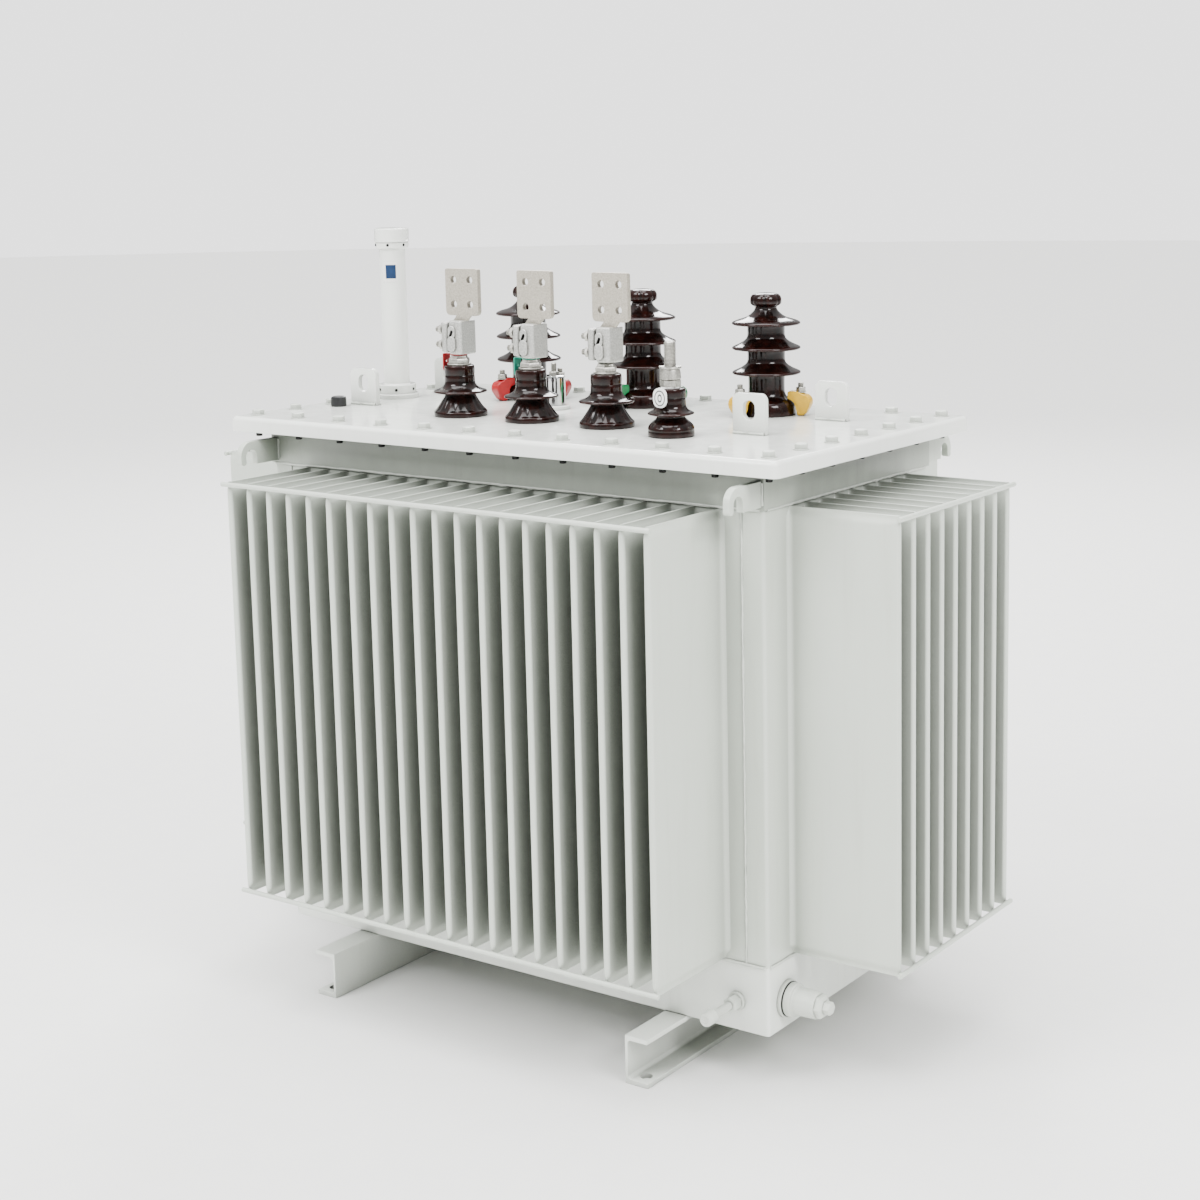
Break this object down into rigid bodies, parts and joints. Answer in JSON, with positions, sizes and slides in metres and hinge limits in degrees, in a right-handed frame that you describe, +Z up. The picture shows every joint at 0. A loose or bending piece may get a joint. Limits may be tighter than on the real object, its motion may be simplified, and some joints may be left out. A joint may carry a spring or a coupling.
{
  "type": "oil-filled distribution transformer",
  "caption": "Sealed oil-filled distribution transformer: corrugated tank with cooling fins on all sides, bolted cover, brown porcelain bushings and clamp terminals on two base channels.",
  "frame": {"origin": "on the ground under the middle of the tank, in the plane of the base channels' undersides", "axes": "+X along the tank towards the drain valve's end, -Y towards the low voltage bushings, +Z up"},
  "size_m": [1.418, 0.898, 1.308],
  "materials": {
    "tank_paint": "gloss",
    "cover_paint": "gloss",
    "bolt_paint": "satin",
    "porcelain": "gloss",
    "tinned_brass": "matte, tinned",
    "zinc_steel": "galvanized",
    "tag_plastic": "matte",
    "claw_red": "satin",
    "claw_green": "satin",
    "claw_yellow": "satin",
    "black_plastic": "matte",
    "polished_steel": "polished"
  },
  "bodies": {
    "root": {"base_channel_left": "tank_paint", "base_channel_right": "tank_paint", "bottom_pan": "tank_paint", "bushing_studs": "zinc_steel", "corrugated_wall_back": "tank_paint", "corrugated_wall_front": "tank_paint", "corrugated_wall_left": "tank_paint", "corrugated_wall_right": "tank_paint", "cover": "cover_paint", "cover_bolts": "bolt_paint", "drain_valve": "cover_paint", "filler_cap": "cover_paint", "filler_tube": "cover_paint", "fin_rods_back": "tank_paint", "fin_rods_front": "tank_paint", "fin_rods_left": "tank_paint", "fin_rods_right": "tank_paint", "hv_clamps_a": "claw_red", "hv_clamps_b": "claw_green", "hv_clamps_c": "claw_yellow", "hv_porcelain_a": "porcelain", "hv_porcelain_b": "porcelain", "hv_porcelain_c": "porcelain", "lashing_hook_back_left": "tank_paint", "lashing_hook_back_right": "tank_paint", "lashing_hook_front_left": "tank_paint", "lashing_hook_front_right": "tank_paint", "lifting_lug_back_left": "cover_paint", "lifting_lug_back_right": "cover_paint", "lifting_lug_front_left": "cover_paint", "lifting_lug_front_right": "cover_paint", "lv_porcelain_a": "porcelain", "lv_porcelain_b": "porcelain", "lv_porcelain_c": "porcelain", "lv_terminal_a": "tinned_brass", "lv_terminal_b": "tinned_brass", "lv_terminal_c": "tinned_brass", "neutral_porcelain": "porcelain", "phase_tags": "tag_plastic", "sampling_valve": "cover_paint", "tap_changer_cover": "polished_steel", "thermometer_pocket": "black_plastic", "top_frame": "tank_paint"}
  },
  "joints": []
}
